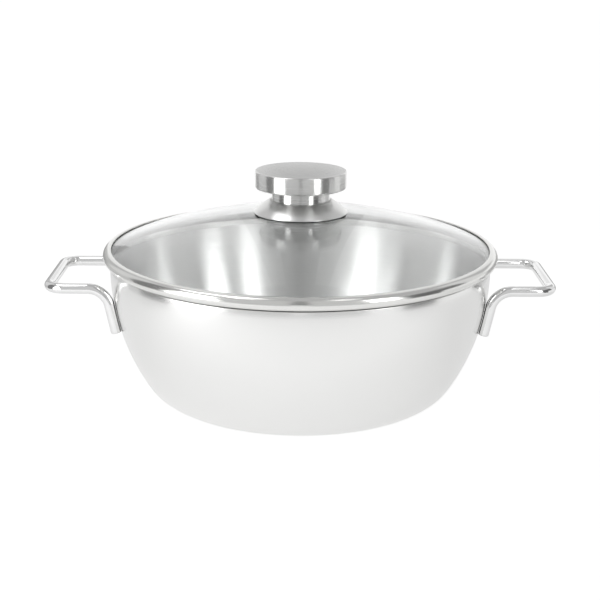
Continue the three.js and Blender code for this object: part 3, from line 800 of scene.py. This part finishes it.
def white_sweep():
    """Matt white sheet: where it is seen it glows to white, less the shadow that lies on it. Where it is
    mirrored, its glow is painted light, brighter in front than behind.
    """
    material, tree = new_material("white studio sweep")
    eye = add_node(tree, "LightPath").outputs["Is Camera Ray"]
    place = add_node(tree, "TexCoord").outputs["Object"]
    depth = add_node(tree, "SeparateXYZ", {0: place}).outputs["Y"]
    # Painted light: for mirrored rays the glow falls from front to back, as if the sheet were lit from the
    # front.
    mirrored = add_node(tree, "MapRange", {
        "Value": depth,
        "From Min": FLOOR_FRONT_Y,
        "From Max": FLOOR_BACK_Y,
        "To Min": FLOOR_PAINTED_LIGHT_FRONT,
        "To Max": FLOOR_PAINTED_LIGHT_BACK,
    })
    level = add_node(tree, "MapRange", {
        "Value": eye,
        "To Min": mirrored.outputs["Result"],
        "To Max": FLOOR_GLOW_SEEN,
    })
    glow = add_node(tree, "Emission", {"Strength": level.outputs["Result"]})
    shade = add_node(tree, "BsdfDiffuse", {"Color": linear(FLOOR_SHADE)})
    look = add_node(tree, "AddShader", {0: glow.outputs[0], 1: shade.outputs[0]})
    plain = add_node(tree, "BsdfDiffuse", {"Color": linear(FLOOR_WHITE)})
    both = add_node(tree, "MixShader", {
        0: seen_or_mirrored(tree),
        1: plain.outputs[0],
        2: look.outputs[0],
    })
    add_node(tree, "OutputMaterial", {"Surface": both.outputs[0]})
    return material


floor_shape = bmesh.new()
bmesh.ops.create_circle(floor_shape, segments=96, radius=FLOOR_RADIUS, cap_ends=True)
floor = finished("floor", floor_shape)
floor.data.materials.append(white_sweep())

# The studio: curved cards stand in a ring round the pan, white ones that light the steel and grey or dark
# ones that draw its edges. A row has a card's name, its start and stop in degrees, rightwards from the
# viewer's side, the heights of its foot and its head in metres, and its brightness.
CARD_RING_RADIUS = 0.45
CARDS = (
    ("grey_front_left", -38, -4, 0.045, 0.8, 0.68),
    ("dark_camera_stand", -4, 4, 0.1, 0.8, 0.3),
    ("grey_front_right", 4, 32, 0.045, 0.8, 0.68),
    ("low_front", -38, 33, 0.022, 0.045, 0.6),
    ("left_softbox", -66, -38, 0.05, 0.16, 4.5),
    ("left_softbox_upper", -63, -43, 0.16, 0.36, 4.5),
    ("left_softbox_top", -63, -43, 0.75, 1.1, 4.5),
    ("left_flag", -92, -69, 0.004, 0.4, 0.24),
    ("left_overhead", -104, -74, 0.64, 1.1, 3.2),
    ("left_overhead_top", -104, -58, 1.1, 2.4, 3.0),
    ("left_side", -125, -95, 0.004, 0.12, 0.63),
    ("left_upper", -121, -95, 0.12, 0.5, 0.8),
    ("left_back", -146, -125, 0.004, 0.14, 0.42),
    ("left_back_upper", -146, -121, 0.14, 0.22, 0.6),
    ("right_softbox", 33, 47, 0.12, 0.36, 4.5),
    ("right_softbox_top", 28, 46, 0.8, 1.15, 3.0),
    ("right_flag", 52, 72, 0.017, 0.3, 0.16),
    ("right_overhead", 80, 94, 1.6, 2.6, 2.0),
    ("right_side", 72, 112, 0.004, 0.13, 1.0),
    ("right_flag_upper", 72, 89, 0.13, 0.3, 0.2),
    ("right_upper", 89, 113, 0.13, 0.5, 0.85),
    ("right_back", 112, 144, 0.004, 0.13, 0.48),
    ("right_back_upper", 113, 144, 0.13, 0.22, 1.1),
    ("white_back", 144, 214, 0.004, 0.22, 1.1),
    ("white_back_right", 136, 168, 0.22, 0.9, 0.95),
    ("white_back_left", 192, 223, 0.22, 0.9, 0.95),
    ("white_back_fade_right", 168, 174, 0.22, 0.9, 0.75),
    ("white_back_fade_left", 186, 192, 0.22, 0.9, 0.75),
)
# These shine only through the lid's glass, and draw the bright streaks on the inside wall.
INSIDE_CARDS = (
    ("left_inside", -66, -46, 0.36, 0.75, 4.5),
    ("left_inside_high", -90, -72, 0.42, 0.6, 7.0),
    ("left_inside_back", -136, -121, 0.22, 0.3, 9.0),
    ("right_inside", 37, 51, 0.36, 0.8, 4.5),
    ("right_inside_low", 63, 78, 0.31, 0.38, 11.0),
    ("right_inside_high", 69, 87, 0.38, 0.54, 10.0),
    ("right_inside_back", 113, 123, 0.22, 0.34, 6.5),
)


def studio_card(name, start, stop, foot_z, head_z, level, mirrored=True):
    """One curved card, lit evenly, that the camera doesn't see. Steel and glass mirror it, or it only
    shines through glass."""
    shape = bmesh.new()
    foot = shape.verts.new((0, -CARD_RING_RADIUS, foot_z))
    head = shape.verts.new((0, -CARD_RING_RADIUS, head_z))
    edge = shape.edges.new((foot, head))
    width = radians(stop - start)
    bmesh.ops.rotate(shape, verts=[foot, head], matrix=Matrix.Rotation(radians(start), 3, "Z"))
    bmesh.ops.spin(shape, geom=[foot, head, edge], axis=(0, 0, 1), angle=width, steps=24)
    card = finished(name, shape)
    material, tree = new_material(name)
    glow = add_node(tree, "Emission", {"Strength": level})
    add_node(tree, "OutputMaterial", {"Surface": glow.outputs[0]})
    card.data.materials.append(material)
    card.visible_camera = False
    card.visible_diffuse = False
    card.visible_shadow = False
    card.visible_glossy = mirrored


for card_row in CARDS:
    studio_card(*card_row)
for card_row in INSIDE_CARDS:
    studio_card(*card_row, mirrored=False)

# The world: to the eye it is the white backdrop behind the pan. For all other rays it is the even grey
# of a studio's ceiling, which lights the floor and fills what steel mirrors beyond the cards.
CEILING_GREY = 0.55
BACKDROP_WHITE = 1

world = bpy.data.worlds.new("studio")
world.use_nodes = True
bpy.context.scene.world = world
world_tree = world.node_tree
world_tree.nodes.clear()
eye = add_node(world_tree, "LightPath").outputs["Is Camera Ray"]
sky = add_node(world_tree, "Background", {"Color": linear("#FFFFFF"), "Strength": CEILING_GREY})
backdrop = add_node(world_tree, "Background", {"Color": linear("#FFFFFF"), "Strength": BACKDROP_WHITE})
sky_mix = add_node(world_tree, "MixShader", {0: eye, 1: sky.outputs[0], 2: backdrop.outputs[0]})
add_node(world_tree, "OutputWorld", {"Surface": sky_mix.outputs[0]})

# The lamp: a soft box at the left front, narrowed to the floor beside the pan, which it lifts to white.
# The soft shadow stays close under the pan, and steel doesn't mirror the lamp.
LAMP_PLACE = Vector((-0.55, -0.55, 0.6))
LAMP_AIM = Vector((-0.37, -0.21, 0))
LAMP_SIZE = 0.4
LAMP_SPREAD = radians(50)
LAMP_WATTS = 0.36

lamp = bpy.data.objects.new("floor_lamp", bpy.data.lights.new("floor_lamp", "AREA"))
lamp.data.size = LAMP_SIZE
lamp.data.energy = LAMP_WATTS
lamp.data.spread = LAMP_SPREAD
lamp.visible_glossy = False
lamp.location = LAMP_PLACE
lamp.rotation_euler = (LAMP_AIM - LAMP_PLACE).to_track_quat("-Z", "Y").to_euler()
bpy.context.scene.collection.objects.link(lamp)
